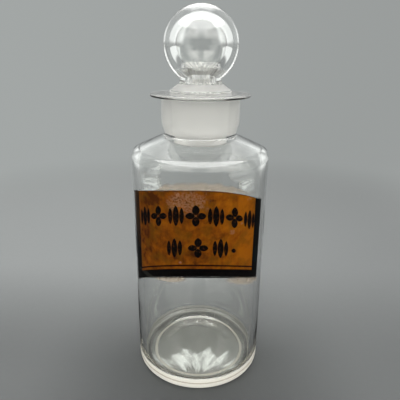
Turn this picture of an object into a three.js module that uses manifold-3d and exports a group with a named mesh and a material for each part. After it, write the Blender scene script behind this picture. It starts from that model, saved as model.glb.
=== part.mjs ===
// Glass-stoppered shop round: a blown apothecary bottle with a gilt label under glass.
// Millimetres, +Z up, origin at the centre of the base, the label faces -Y.

import * as THREE from 'three';
import { mergeVertices } from 'three/addons/utils/BufferGeometryUtils.js';
import Module from 'manifold-3d';

const wasm = await Module();
wasm.setup();

// Blown body
const BODY_RADIUS = 42;
const WALL = 4;
const BODY_HEIGHT = 148;
const HEEL_RADIUS = 2.4;
const STANDING_RING_INNER = 33;
const KICK_RADIUS = 17;
const KICK_DEPTH = 3.4;
const KICK_FILLET = 20;
const FLOOR_THICKNESS = 5;
const FLOOR_CORNER_RADIUS = 3.4;
const SHOULDER_RISE = 9.2;
const SHOULDER_CORNER_RADIUS = 5.6;
const INNER_SHOULDER_RADIUS = 4.5;

// Neck and flanged lip
const NECK_ROOT_RADIUS = 21.4;
const NECK_ROOT_FILLET = 1.6;
const NECK_RADIUS = 23.45;
const NECK_SWELL_HEIGHT = 7;
const NECK_SWELL_FILLET = 9;
const NECK_HEIGHT = 20;
const LIP_RADIUS = 29.6;
const LIP_THICKNESS = 3.6;
const LIP_CONE = 1.2;
const LIP_EDGE_RADIUS = 1.3;
const UNDER_LIP_FILLET = 1;
const MOUTH_EDGE_RADIUS = 0.5;
const BORE_FOOT_FILLET = 1.5;

// Ground joint between neck and stopper
const SHANK_TOP_RADIUS = 17.5;
const SHANK_LENGTH = 32;
const GROUND_TAPER = 0.05;
const GROUND_CLEARANCE = 0.3;
const FOOT_EDGE_RADIUS = 1.4;

// Hollow ball stopper
const BALL_RADIUS = 21.5;
const BALL_RISE = 25.2;
const BUBBLE_RADIUS = 12.4;
const COLLAR_HEIGHT = 0.9;
const COLLAR_RADIUS = 17.6;
const COLLAR_EDGE_RADIUS = 0.5;
const WAIST_RADIUS = 12.2;
const WAIST_RISE = 4.9;
const WAIST_FILLET = 2.4;
const BREATHER_RADIUS = 6;
const BREATHER_FILLET = 5;
const SHANK_BORE_RADIUS = 10.8;
const SHANK_BORE_DEPTH = 27;

// Recessed label, angles in degrees from the front towards +X
const LABEL_LEFT_ANGLE = -68.5;
const LABEL_RIGHT_ANGLE = 58.7;
const LABEL_TOP = 134;
const LABEL_TOP_LEFT_DROP = 8.8;
const LABEL_TOP_RIGHT_DROP = 11.3;
const LABEL_BOTTOM = 82.3;
const LABEL_BOTTOM_LEFT_DROP = 16.8;
const LABEL_BOTTOM_RIGHT_DROP = 11.4;
const LABEL_GLASS_THICKNESS = 1.1;
const FOIL_THICKNESS = 0.15;
const BACKING_THICKNESS = 0.15;
const CEMENT_THICKNESS = 0.3;
const LAYER_GAP = 0.1;
const RECESS_CLEARANCE = 0.4;
const GLASS_MARGIN = 1;
const BORDER_LEFT = 7.8;
const BORDER_RIGHT = 6.1;
const BORDER_TOP = 1.2;
const BORDER_BOTTOM = 5.2;

// Facets
const BODY_SEGMENTS = 60;
const STOPPER_SEGMENTS = 48;
const LABEL_STEPS = 22;
const ARC_STEP_ANGLE = 20;
const BALL_STEP_ANGLE = 12;

const DEGREE = Math.PI / 180;

// Heights that follow from the sizes above
const neckRootHeight = BODY_HEIGHT + SHOULDER_RISE;
const lipTop = neckRootHeight + NECK_HEIGHT + LIP_THICKNESS + LIP_CONE;
const mouthRadius = SHANK_TOP_RADIUS + GROUND_CLEARANCE;
const ballCentre = lipTop + BALL_RISE;

const glass = new THREE.MeshStandardMaterial({
  color: 0xdfe5df, roughness: 0.05, metalness: 0, transparent: true, opacity: 0.35,
});
const stopperGlass = new THREE.MeshStandardMaterial({
  color: 0xe6e9e5, roughness: 0.06, metalness: 0, transparent: true, opacity: 0.4,
});
const coverGlass = new THREE.MeshStandardMaterial({
  color: 0xe2e6df, roughness: 0.06, metalness: 0, transparent: true, opacity: 0.3,
});
const goldLeaf = new THREE.MeshStandardMaterial({ color: 0x9c5a14, roughness: 0.45, metalness: 0.5 });
const blackJapan = new THREE.MeshStandardMaterial({ color: 0x14110f, roughness: 0.5, metalness: 0 });
const putty = new THREE.MeshStandardMaterial({ color: 0xb3a27f, roughness: 0.9, metalness: 0 });

// A corner of an outline: radius, height and the fillet that rounds it.
function corner(r, z, fillet = 0) {
  return { point: new THREE.Vector2(r, z), fillet };
}

// The arc that rounds one corner, as points no more than ARC_STEP_ANGLE apart.
function filletPoints(before, at, after) {
  const back = before.point.clone().sub(at.point);
  const ahead = after.point.clone().sub(at.point);
  const half = Math.acos(back.clone().normalize().dot(ahead.clone().normalize())) / 2;
  const reach = at.fillet / Math.tan(half);
  const share = (neighbour) => (neighbour.fillet > 0 ? 0.5 : 1);
  const room = Math.min(back.length() * share(before), ahead.length() * share(after));
  const setback = Math.min(reach, room);
  const fillet = setback * Math.tan(half);
  const start = at.point.clone().add(back.setLength(setback));
  const end = at.point.clone().add(ahead.setLength(setback));
  const bisector = start.clone().add(end).multiplyScalar(0.5).sub(at.point);
  const centre = at.point.clone().add(bisector.setLength(fillet / Math.sin(half)));
  const from = start.clone().sub(centre).angle();
  let sweep = end.clone().sub(centre).angle() - from;
  if (sweep > Math.PI) sweep -= 2 * Math.PI;
  if (sweep < -Math.PI) sweep += 2 * Math.PI;
  const arc = new THREE.Path();
  arc.absarc(centre.x, centre.y, fillet, from, from + sweep, sweep < 0);
  return arc.getSpacedPoints(Math.max(1, Math.ceil(Math.abs(sweep) / (ARC_STEP_ANGLE * DEGREE))));
}

// Turns a run of corners into outline points, each filleted corner as an arc.
function roundedOutline(corners) {
  const last = corners.length - 1;
  return corners.flatMap((at, i) => {
    if (at.fillet === 0 || i === 0 || i === last) return [at.point];
    return filletPoints(corners[i - 1], at, corners[i + 1]);
  });
}

// Points on a circle of the outline plane, between two angles from straight up.
function meridianArc(centreHeight, radius, fromAngle, toAngle) {
  const steps = Math.ceil(Math.abs(toAngle - fromAngle) / BALL_STEP_ANGLE);
  return Array.from({ length: steps + 1 }, (_, i) => {
    const angle = THREE.MathUtils.lerp(fromAngle, toAngle, i / steps) * DEGREE;
    const onAxis = Math.abs(Math.sin(angle)) < 1e-9;
    const across = onAxis ? 0 : radius * Math.sin(angle);
    return new THREE.Vector2(across, centreHeight + radius * Math.cos(angle));
  });
}

// Spins an outline, given as radius and height, round the upright axis.
function turned(outline, segments) {
  return new THREE.LatheGeometry(outline, segments).rotateX(Math.PI / 2);
}

function toSolid(geometry) {
  const bare = geometry.clone();
  bare.deleteAttribute('normal');
  bare.deleteAttribute('uv');
  const welded = mergeVertices(bare);
  return new wasm.Manifold(new wasm.Mesh({
    numProp: 3,
    vertProperties: new Float32Array(welded.attributes.position.array),
    triVerts: new Uint32Array(welded.index.array),
  }));
}

function toGeometry(solid) {
  const mesh = solid.getMesh();
  const geometry = new THREE.BufferGeometry();
  geometry.setAttribute('position', new THREE.BufferAttribute(mesh.vertProperties, 3));
  geometry.setIndex(new THREE.BufferAttribute(mesh.triVerts, 1));
  return geometry;
}

// Height of a label edge at an angle: an arch that is highest at the front.
function archHeight(angle, apex, leftDrop, rightDrop) {
  const end = angle < 0 ? LABEL_LEFT_ANGLE : LABEL_RIGHT_ANGLE;
  const drop = angle < 0 ? leftDrop : rightDrop;
  const share = (1 - Math.cos(angle * DEGREE)) / (1 - Math.cos(end * DEGREE));
  return apex - drop * share;
}

function labelTopAt(angle) {
  return archHeight(angle, LABEL_TOP, LABEL_TOP_LEFT_DROP, LABEL_TOP_RIGHT_DROP);
}

function labelBottomAt(angle) {
  return archHeight(angle, LABEL_BOTTOM, LABEL_BOTTOM_LEFT_DROP, LABEL_BOTTOM_RIGHT_DROP);
}

// Joins sections of equal size, in order, and closes the first and the last.
function loft(sections) {
  const size = sections[0].length;
  const last = sections.length - 1;
  const at = (section, point) => section * size + (point % size);
  const triangles = [];
  for (let s = 0; s < last; s += 1) {
    for (let p = 0; p < size; p += 1) {
      triangles.push(at(s, p), at(s + 1, p), at(s + 1, p + 1));
      triangles.push(at(s, p), at(s + 1, p + 1), at(s, p + 1));
    }
  }
  for (let p = 1; p < size - 1; p += 1) {
    triangles.push(at(0, 0), at(0, p), at(0, p + 1));
    triangles.push(at(last, 0), at(last, p + 1), at(last, p));
  }
  const geometry = new THREE.BufferGeometry().setFromPoints(sections.flat());
  return geometry.setIndex(triangles);
}

// A point on an upright cylinder, by its angle from the front towards +X.
function onCylinder(radius, angle, height) {
  return new THREE.Vector3(radius * Math.sin(angle * DEGREE), -radius * Math.cos(angle * DEGREE), height);
}

// A curved plate that follows the body's wall between two radii. The insets pull its
// left, right, top and bottom edges in from the label's outline, in millimetres.
function curvedPlate(innerRadius, outerRadius, insets) {
  const perMillimetre = 1 / (BODY_RADIUS * DEGREE);
  const left = LABEL_LEFT_ANGLE + insets.left * perMillimetre;
  const right = LABEL_RIGHT_ANGLE - insets.right * perMillimetre;
  const sections = Array.from({ length: LABEL_STEPS + 1 }, (_, i) => {
    const angle = THREE.MathUtils.lerp(left, right, i / LABEL_STEPS);
    const bottom = labelBottomAt(angle) + insets.bottom;
    const top = labelTopAt(angle) - insets.top;
    return [
      onCylinder(innerRadius, angle, bottom),
      onCylinder(outerRadius, angle, bottom),
      onCylinder(outerRadius, angle, top),
      onCylinder(innerRadius, angle, top),
    ];
  });
  return loft(sections);
}

function evenInset(distance) {
  return { left: distance, right: distance, top: distance, bottom: distance };
}

// Radii of the label's layers, from the outside in
const coverInner = BODY_RADIUS - LABEL_GLASS_THICKNESS;
const foilOuter = coverInner - LAYER_GAP;
const foilInner = foilOuter - FOIL_THICKNESS;
const backingOuter = foilInner - LAYER_GAP;
const backingInner = backingOuter - BACKING_THICKNESS;
const cementOuter = backingInner - LAYER_GAP;
const cementInner = cementOuter - CEMENT_THICKNESS;
const recessFloor = cementInner - LAYER_GAP;

// The base, its shallow kick and the heel, from the axis out to the wall.
function baseOutline() {
  return [
    corner(0, KICK_DEPTH),
    corner(KICK_RADIUS, KICK_DEPTH, KICK_FILLET),
    corner(STANDING_RING_INNER, 0),
    corner(BODY_RADIUS, 0, HEEL_RADIUS),
  ];
}

// The outside of the shoulder, neck and lip, up to the mouth.
function shoulderAndNeckOutline() {
  const underLip = neckRootHeight + NECK_HEIGHT;
  return [
    corner(BODY_RADIUS, BODY_HEIGHT, SHOULDER_CORNER_RADIUS),
    corner(NECK_ROOT_RADIUS, neckRootHeight, NECK_ROOT_FILLET),
    corner(NECK_RADIUS, neckRootHeight + NECK_SWELL_HEIGHT, NECK_SWELL_FILLET),
    corner(NECK_RADIUS, underLip, UNDER_LIP_FILLET),
    corner(LIP_RADIUS, underLip + LIP_CONE, LIP_EDGE_RADIUS),
    corner(LIP_RADIUS, lipTop - LIP_CONE, LIP_EDGE_RADIUS),
    corner(mouthRadius, lipTop, MOUTH_EDGE_RADIUS),
  ];
}

// The inside, from the ground bore down to the middle of the floor.
function insideOutline() {
  const innerRadius = BODY_RADIUS - WALL;
  const slope = SHOULDER_RISE / (BODY_RADIUS - NECK_ROOT_RADIUS);
  const shoulderDrop = WALL * Math.hypot(1, slope);
  const innerShoulder = (r) => BODY_HEIGHT - shoulderDrop + slope * (BODY_RADIUS - r);
  const boreLength = lipTop - innerShoulder(mouthRadius);
  const boreFoot = mouthRadius - GROUND_TAPER * boreLength;
  return [
    corner(boreFoot, innerShoulder(boreFoot), BORE_FOOT_FILLET),
    corner(innerRadius, innerShoulder(innerRadius), INNER_SHOULDER_RADIUS),
    corner(innerRadius, FLOOR_THICKNESS, FLOOR_CORNER_RADIUS),
    corner(0, FLOOR_THICKNESS + KICK_DEPTH / 2),
  ];
}

function bottleBody() {
  const outline = roundedOutline([...baseOutline(), ...shoulderAndNeckOutline(), ...insideOutline()]);
  const vessel = toSolid(turned(outline, BODY_SEGMENTS));
  const beyondWall = BODY_RADIUS + WALL;
  const recess = toSolid(curvedPlate(recessFloor, beyondWall, evenInset(-RECESS_CLEARANCE)));
  return toGeometry(vessel.subtract(recess));
}

// The hollow stopper, from the bubble's top down its inside, then up its outside.
function stopperOutline() {
  const footHeight = lipTop - SHANK_LENGTH;
  const footRadius = SHANK_TOP_RADIUS - GROUND_TAPER * SHANK_LENGTH;
  const waistHeight = lipTop + WAIST_RISE;
  const bubbleEnd = (Math.PI - Math.asin(BREATHER_RADIUS / BUBBLE_RADIUS)) / DEGREE;
  const ballStart = (Math.PI - Math.asin(WAIST_RADIUS / BALL_RADIUS)) / DEGREE;
  const bubble = meridianArc(ballCentre, BUBBLE_RADIUS, 0, bubbleEnd);
  const ball = meridianArc(ballCentre, BALL_RADIUS, ballStart, 0);
  const between = roundedOutline([
    corner(BREATHER_RADIUS, bubble.at(-1).y),
    corner(BREATHER_RADIUS, waistHeight, BREATHER_FILLET),
    corner(SHANK_BORE_RADIUS, footHeight + SHANK_BORE_DEPTH, BREATHER_FILLET),
    corner(SHANK_BORE_RADIUS, footHeight, FOOT_EDGE_RADIUS),
    corner(footRadius, footHeight, FOOT_EDGE_RADIUS),
    corner(SHANK_TOP_RADIUS, lipTop),
    corner(COLLAR_RADIUS, lipTop + COLLAR_HEIGHT, COLLAR_EDGE_RADIUS),
    corner(WAIST_RADIUS, waistHeight, WAIST_FILLET),
    corner(WAIST_RADIUS, ball[0].y),
  ]);
  return [...bubble, ...between.slice(1, -1), ...ball];
}

function stopper() {
  return toGeometry(toSolid(turned(stopperOutline(), STOPPER_SEGMENTS)));
}

function labelGlass() {
  return curvedPlate(coverInner, BODY_RADIUS, evenInset(0));
}

function labelFoil() {
  return curvedPlate(foilInner, foilOuter, {
    left: BORDER_LEFT, right: BORDER_RIGHT, top: BORDER_TOP, bottom: BORDER_BOTTOM,
  });
}

function labelBacking() {
  return curvedPlate(backingInner, backingOuter, evenInset(GLASS_MARGIN));
}

function labelCement() {
  return curvedPlate(cementInner, cementOuter, evenInset(GLASS_MARGIN / 2));
}

function part(name, geometry, material) {
  const mesh = new THREE.Mesh(geometry, material);
  mesh.name = name;
  return mesh;
}

const vessel = new THREE.Group();
vessel.add(
  part('bottle_body', bottleBody(), glass),
  part('label_glass', labelGlass(), coverGlass),
  part('label_foil', labelFoil(), goldLeaf),
  part('label_backing', labelBacking(), blackJapan),
  part('label_cement', labelCement(), putty),
);

const bottle = new THREE.Group();
bottle.add(vessel, part('stopper', stopper(), stopperGlass));

export default bottle;
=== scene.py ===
"""A glass-stoppered shop round with a gilt label under glass.

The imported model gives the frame, the joint and the room that each piece has. This script
blows the visible glass round that frame, lays the label in its recess and lights it all in
a plain studio. Lengths in the classes below are millimetres, and meshes are in metres.
"""
import logging
import math
from collections.abc import Callable, Iterable, Sequence
from dataclasses import dataclass, replace
from enum import Enum, IntEnum
from functools import partialmethod

import bpy
from mathutils import Matrix, Vector, noise


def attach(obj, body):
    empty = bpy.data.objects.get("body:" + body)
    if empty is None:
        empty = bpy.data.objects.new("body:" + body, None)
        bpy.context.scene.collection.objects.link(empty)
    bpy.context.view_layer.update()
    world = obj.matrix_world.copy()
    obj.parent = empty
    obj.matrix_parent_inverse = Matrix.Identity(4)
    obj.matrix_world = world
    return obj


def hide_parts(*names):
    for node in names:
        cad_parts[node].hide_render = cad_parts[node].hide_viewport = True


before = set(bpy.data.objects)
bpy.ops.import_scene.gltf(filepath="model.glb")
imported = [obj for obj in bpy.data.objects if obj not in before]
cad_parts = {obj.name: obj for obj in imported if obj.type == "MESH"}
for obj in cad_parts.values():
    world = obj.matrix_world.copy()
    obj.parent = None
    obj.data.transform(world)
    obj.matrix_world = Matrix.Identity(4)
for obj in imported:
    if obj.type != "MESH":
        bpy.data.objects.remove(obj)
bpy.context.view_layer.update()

MM = 0.001
LOG = logging.getLogger("shop_round")

# The refractive index of glass, and how often a ray may pass or bounce
GLASS_INDEX = 1.5
BOUNCES = 32
# The angle from which an edge is sharp, the widest step of a circle in degrees, and the
# distance in millimetres up to which a point counts as on the axis
SHARP_FROM = math.radians(32.0)
ARC_STEP = 5.0
ON_AXIS = 1e-6
# Where a patch begins and is full, as shares of its half width or height
PATCH_EDGE = (1.25, 0.75)

Point = tuple[float, float]
Span = tuple[float, float]
Colour = tuple[float, float, float]
Settings = dict[str, object] | None
Inputs = dict[str | int, object] | None


class Body(Enum):
    """The rigid bodies of the frame that a piece can ride on."""

    VESSEL = "vessel"
    STOPPER = "stopper"


class Value:
    """A number, vector or colour that a material works out, as one socket of a node."""

    def __init__(self, graph: "Graph", socket: bpy.types.NodeSocket) -> None:
        """Wraps a socket of the graph."""
        self.graph = graph
        self.socket = socket

    def math(self, operation: str, *others: "Value | float") -> "Value":
        """The result of a Math node on this value and the others."""
        return self.graph.math(operation, self, *others)

    # Operators and named functions, each one Math node
    __add__ = __radd__ = partialmethod(math, "ADD")
    __sub__ = partialmethod(math, "SUBTRACT")
    __mul__ = __rmul__ = partialmethod(math, "MULTIPLY")
    __truediv__ = partialmethod(math, "DIVIDE")
    __abs__ = partialmethod(math, "ABSOLUTE")
    at_least = partialmethod(math, "MAXIMUM")
    cosine = partialmethod(math, "COSINE")

    def __rsub__(self, other: float) -> "Value":
        """Difference, from a plain number."""
        return self.graph.math("SUBTRACT", other, self)

    def step(self, low: float, high: float) -> "Value":
        """A soft step from 0 at low to 1 at high, or down again where low is above high."""
        inputs = {"Value": self, "From Min": low, "From Max": high}
        return self.graph.add("ShaderNodeMapRange", {"interpolation_type": "SMOOTHSTEP"}, inputs)

    def swing(self, amount: float) -> "Value":
        """A noise round 0.5 as a swing round 0, times an amount."""
        return (self - 0.5) * amount


class Graph:
    """The node tree of one material or world."""

    def __init__(self, tree: bpy.types.NodeTree) -> None:
        """Starts from an empty tree."""
        self.tree = tree
        tree.nodes.clear()

    def node(self, kind: str, settings: Settings = None, inputs: Inputs = None) -> bpy.types.Node:
        """Adds a node.

        Args:
            kind: The node's type.
            settings: Its properties, set before its sockets.
            inputs: Numbers, colours or links, by the name or number of a socket.

        Returns:
            The node.
        """
        node = self.tree.nodes.new(kind)
        for name, setting in (settings or {}).items():
            setattr(node, name, setting)
        for name, value in (inputs or {}).items():
            socket = node.inputs[name]
            if isinstance(value, Value):
                self.tree.links.new(value.socket, socket)
            else:
                socket.default_value = (*value, 1.0) if socket.type == "RGBA" else value
        return node

    def add(self, kind: str, settings: Settings = None, inputs: Inputs = None,
            output: str | int = 0) -> Value:
        """Adds a node as node() does, and gives the output that the caller wants."""
        return Value(self, self.node(kind, settings, inputs).outputs[output])

    def math(self, operation: str, *values: Value | float) -> Value:
        """Adds a Math node with its values in the order of its sockets."""
        return self.add("ShaderNodeMath", {"operation": operation}, dict(enumerate(values)))

    def vector(self, operation: str, *values: Value | Point | Colour) -> Value:
        """Adds a Vector Math node.

        Args:
            operation: The node's operation.
            values: Links or plain vectors, which may leave out their third part.

        Returns:
            The number for a length and the vector otherwise.
        """
        padded = [(*part, 0.0)[:3] if isinstance(part, tuple) else part for part in values]
        output = 1 if operation == "LENGTH" else 0
        return self.add("ShaderNodeVectorMath", {"operation": operation}, dict(enumerate(padded)), output)

    def mix(self, factor: Value, first: Value | Colour, second: Value | Colour) -> Value:
        """Blends two colours, from the first at a factor of 0 to the second at 1."""
        settings = {"data_type": "RGBA", "clamp_factor": True}
        return self.add("ShaderNodeMix", settings, {0: factor, 6: first, 7: second}, 2)

    def layered(
        self, base: Value | Colour, layers: Iterable[tuple[Value, Value | Colour]]
    ) -> Value | Colour:
        """Lays colours over a base in order.

        Args:
            base: The colour at the bottom.
            layers: Each colour's share and the colour.

        Returns:
            The blended colour.
        """
        for share, colour in layers:
            base = self.mix(share, base, colour)
        return base

    def ramp(self, value: Value, stops: Sequence[tuple[float, Colour]]) -> Value:
        """Turns a value into a colour.

        Args:
            value: The value, from 0 to 1.
            stops: Places on the ramp and their colours.

        Returns:
            The colour.
        """
        node = self.node("ShaderNodeValToRGB", None, {0: value})
        elements = node.color_ramp.elements
        while len(elements) < len(stops):
            elements.new(0.5)
        for element, (place, colour) in zip(elements, stops):
            element.position = place
            element.color = (*colour, 1.0)
        return Value(self, node.outputs[0])

    def noise(self, place: Value, size: float, detail: float = 2.0, rough: float = 0.5) -> Value:
        """Cloudy noise.

        Args:
            place: The coordinates.
            size: The size of a cloud, in the units of the coordinates.
            detail: How many finer layers it has.
            rough: How strong the finer layers are.

        Returns:
            A value round 0.5.
        """
        inputs = {"Vector": place, "Scale": 1 / size, "Detail": detail, "Roughness": rough}
        return self.add("ShaderNodeTexNoise", None, inputs)

    def cells(self, place: Value, size: float) -> Value:
        """The distance from the nearest of many scattered points, as a share of a size."""
        return self.add("ShaderNodeTexVoronoi", None, {"Vector": place, "Scale": 1 / size})

    def asks(self, question: str) -> Value:
        """1 where a ray is of the kind that is asked for, such as Is Camera Ray."""
        return self.add("ShaderNodeLightPath", output=question)

    def place(self) -> Value:
        """The point on the object, in metres."""
        return self.add("ShaderNodeTexCoord", output="Object")

    def split(self, vector: Value) -> list[Value]:
        """The three parts of a vector."""
        node = self.node("ShaderNodeSeparateXYZ", None, {0: vector})
        return [Value(self, part) for part in node.outputs]

    def join(self, x: Value | float, y: Value | float, z: Value | float = 0.0) -> Value:
        """A vector from three parts."""
        return self.add("ShaderNodeCombineXYZ", None, {0: x, 1: y, 2: z})

    def reach(self, x: Value, y: Value) -> Value:
        """The distance of a point from the axis."""
        return (x * x + y * y).math("SQRT")

    def unrolled(self, radius: float) -> Value:
        """The place on the unrolled wall of a given radius, in millimetres."""
        x, y, z = self.split(self.place())
        return self.join(x.math("ARCTAN2", 0 - y) * radius, z * (1 / MM))

    def patches(self, face: Value, patches: Iterable["Patch"], ragged: Value) -> Value | float:
        """Soft-edged patches on an unrolled face, added together.

        Args:
            face: The face's coordinates, in millimetres.
            patches: The patches.
            ragged: A value round 0.5 that makes their edges uneven.

        Returns:
            A patch's strength in its middle and 0 outside it.
        """
        total: Value | float = 0.0
        for patch in patches:
            offset = self.vector("SUBTRACT", face, (patch.along, patch.level))
            scaled = self.vector("DIVIDE", offset, (patch.width / 2, patch.height / 2, 1.0))
            reach = self.vector("LENGTH", scaled) + ragged.swing(patch.ragged)
            total = reach.step(*PATCH_EDGE) * patch.strength + total
        return total

    def bump(self, height: Value, depth: float) -> Value:
        """A normal from a height whose full range is a depth in millimetres."""
        inputs = {"Height": height, "Distance": depth * MM, "Strength": 1.0}
        return self.add("ShaderNodeBump", None, inputs)

    def principled(self, inputs: Inputs) -> Value:
        """Adds a Principled BSDF with its values and links by socket name."""
        return self.add("ShaderNodeBsdfPrincipled", None, inputs)

    def cover(self, share: Value, under: Value, over: Value) -> Value:
        """Covers a share of one shader with another."""
        return self.add("ShaderNodeMixShader", None, {0: share, 1: under, 2: over})


@dataclass(frozen=True)
class Patch:
    """A worn or stained place on the unrolled wall, in millimetres.

    Attributes:
        along: Its middle along the wall, from the front towards +X.
        level: The height of its middle.
        width: Its width.
        height: Its height.
        strength: How strong it is in its middle.
        ragged: How uneven its edge is.
    """

    along: float
    level: float
    width: float
    height: float
    strength: float = 1.0
    ragged: float = 1.2


@dataclass(frozen=True)
class Finish:
    """A finish that a piece can have, by the name of its material."""

    name: str

    def shader(self, graph: Graph) -> Value:
        """Adds the finish's shader to a graph, which each finish does in its own way."""
        raise NotImplementedError

    def material(self) -> bpy.types.Material:
        """Builds the material.

        Returns:
            The material, with the finish's shader as its surface.
        """
        material = bpy.data.materials.new(self.name)
        material.use_nodes = True
        graph = Graph(material.node_tree)
        graph.node("ShaderNodeOutputMaterial", None, {"Surface": self.shader(graph)})
        return material


@dataclass(frozen=True)
class ClearGlass(Finish):
    """Polished clear glass with the faint waves of hand work.

    Attributes:
        tint: What is left of white light after it passes the surface.
        wave_size: The length of a wave in the surface, in millimetres.
        wave_depth: The depth of the waves, in millimetres.
        seed_size: The distance between seeds, the tiny bubbles at the surface.
        seed_edge: Where a seed begins and is deepest, as shares of that distance.
        seed_depth: The depth of a seed, as a share of the waves'.
        polish: The roughness of the polished surface.
        wear: How much rougher it is where it is worn.
        wear_size: The size of a worn place, in millimetres.
        wear_edge: The noise where the wear begins and is full.
    """

    tint: Colour = (0.985, 0.99, 0.98)
    wave_size: float = 16.0
    wave_depth: float = 0.03
    seed_size: float = 5.0
    seed_edge: Span = (0.05, 0.02)
    seed_depth: float = 0.25
    polish: float = 0.004
    wear: float = 0.02
    wear_size: float = 2.5
    wear_edge: Span = (0.62, 0.8)

    def shader(self, graph: Graph) -> Value:
        """Adds the polished glass to a graph.

        Args:
            graph: The graph.

        Returns:
            The shader.
        """
        place = graph.place()
        waves = graph.noise(place, self.wave_size * MM, 1.0, 0.4)
        seeds = graph.cells(place, self.seed_size * MM).step(*self.seed_edge)
        worn = graph.noise(place, self.wear_size * MM, 3.0, 0.6).step(*self.wear_edge)
        return graph.principled({
            "Base Color": self.tint,
            "Roughness": worn * self.wear + self.polish,
            "IOR": GLASS_INDEX,
            "Transmission Weight": 1.0,
            "Specular IOR Level": 0.5,
            "Normal": graph.bump(waves - seeds * self.seed_depth, self.wave_depth),
        })


@dataclass(frozen=True)
class PuttyAndGlintGlass(ClearGlass):
    """The clear wall, with thin putty left round its label and pale streaks of painted highlight above it.

    Attributes:
        radius: The radius of the wall, in millimetres.
        residue: Where thin putty was left.
        painted_glints: Where pale streaks of painted highlight lie on the wall.
        sag: How far their rows follow the arch of the label, in millimetres.
        putty: The two colours of the putty.
        glint_colour: The colour of the painted highlights.
        slant: How streaks run, as shares of the way along, up and down the wall.
    """

    radius: float = 42.0
    residue: tuple[Patch, ...] = ()
    painted_glints: tuple[Patch, ...] = ()
    sag: float = 20.0
    putty: tuple[Colour, Colour] = ((0.42, 0.32, 0.21), (0.6, 0.5, 0.38))
    glint_colour: Colour = (0.86, 0.9, 0.86)
    slant: tuple[float, float, float] = (0.16, 0.1, 0.12)

    def shader(self, graph: Graph) -> Value:
        """Adds the glass with its putty and painted highlights to a graph.

        Args:
            graph: The graph.

        Returns:
            The shader.
        """
        glass = super().shader(graph)
        along, level, _ = graph.split(graph.unrolled(self.radius))
        face = graph.join(along, level + (1 - (along / self.radius).cosine()) * self.sag)
        drift = graph.noise(face, 5.0, 2.0, 0.5)
        stretch, lean, fall = self.slant
        slanted = graph.join(along * stretch + level * lean, level - along * fall)
        streaks = graph.noise(slanted, 2.0, 2.0, 0.5).step(0.3, 0.7)
        # Painted highlights: pale streaks where the upper wall would show bright light
        glint_share = graph.patches(face, self.painted_glints, drift) * (streaks * 0.75 + 0.25)
        putty = graph.mix(graph.noise(face, 3.0, 4.0, 0.6).step(0.3, 0.7), *self.putty)
        dull = graph.principled({
            "Base Color": graph.mix(glint_share.step(0.02, 0.1), putty, self.glint_colour),
            "Roughness": 0.8,
        })
        return graph.cover(graph.patches(face, self.residue, drift).at_least(glint_share), glass, dull)


@dataclass(frozen=True)
class LipShadeGlass(ClearGlass):
    """The rim of the lip, with painted shade along its lower edge: a dark line in place of the one that
    the edge refracts.

    Attributes:
        radius: The lip's radius, in millimetres.
        shade_line: Where the painted shade lies on the lip's unrolled rim.
        shade_colour: The colour of the painted shade.
    """

    radius: float = 29.6
    shade_line: tuple[Patch, ...] = ()
    shade_colour: Colour = (0.012, 0.011, 0.007)

    def shader(self, graph: Graph) -> Value:
        """Adds the glass with its painted shade to a graph.

        Args:
            graph: The graph.

        Returns:
            The shader.
        """
        glass = super().shader(graph)
        face = graph.unrolled(self.radius)
        ragged = graph.noise(face, 2.5, 3.0, 0.6)
        # Painted shade: a dark dull line where the lip's edge would refract dark surroundings
        dull = graph.principled({"Base Color": self.shade_colour, "Roughness": 0.7})
        return graph.cover(graph.patches(face, self.shade_line, ragged), glass, dull)


@dataclass(frozen=True)
class TooledGlintGlass(ClearGlass):
    """Glass drawn in hot at the waist, with pale upright streaks on its inside that are painted highlights
    of the bright, streaked waist.

    Attributes:
        streak: The width of a streak, in radians round the axis.
        stretch: How much longer than wide a streak is.
        least: How pale the glass is between the streaks.
        most: How pale it is in a streak.
        pale: The colour of the painted streaks.
        core: The radius inside which they don't narrow further, in millimetres.
    """

    streak: float = 0.2
    stretch: float = 6.0
    least: float = 0.3
    most: float = 0.85
    pale: Colour = (0.97, 0.97, 0.94)
    core: float = 0.1

    def shader(self, graph: Graph) -> Value:
        """Adds the glass with its painted streaks to a graph.

        Args:
            graph: The graph.

        Returns:
            The shader.
        """
        glass = super().shader(graph)
        x, y, z = graph.split(graph.place())
        reach = graph.reach(x, y).at_least(self.core * MM)
        ring = graph.join(x / reach, y / reach, z * (self.streak / self.stretch / MM))
        # Painted highlights: pale upright streaks in the waist
        streaks = graph.noise(ring, self.streak, 2.0, 0.5).step(0.4, 0.62)
        pale = graph.principled({
            "Base Color": self.pale,
            "Roughness": 0.5,
            "Transmission Weight": 0.3,
        })
        return graph.cover(streaks * (self.most - self.least) + self.least, glass, pale)


@dataclass(frozen=True)
class GroundGlass(Finish):
    """Glass ground with emery, which scatters the light that passes it.

    Attributes:
        colour: The colour of the ground surface.
        grain: The size of the grain, in millimetres.
        rings: The height of the rings that the grinding leaves.
        relief: The depth of grain and rings together.
        clear: The share of light that passes rather than being scattered back.
        roughness: The roughness of the ground surface.
    """

    colour: Colour = (0.99, 0.987, 0.965)
    grain: float = 0.35
    rings: float = 0.8
    relief: float = 0.02
    clear: float = 0.12
    roughness: float = 0.5

    def shader(self, graph: Graph) -> Value:
        """Adds the ground glass to a graph.

        Args:
            graph: The graph.

        Returns:
            The shader.
        """
        place = graph.place()
        height = graph.split(place)[2]
        grain = graph.noise(place, self.grain * MM, 3.0, 0.7)
        rings = graph.noise(graph.join(0.0, 0.0, height), self.rings * MM, 3.0, 0.6)
        return graph.principled({
            "Base Color": self.colour,
            "Roughness": grain.swing(0.25) + rings.swing(0.2) + self.roughness,
            "IOR": GLASS_INDEX,
            "Transmission Weight": self.clear,
            "Specular IOR Level": 0.4,
            "Normal": graph.bump(grain * 0.6 + rings * 0.4, self.relief),
        })


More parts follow.
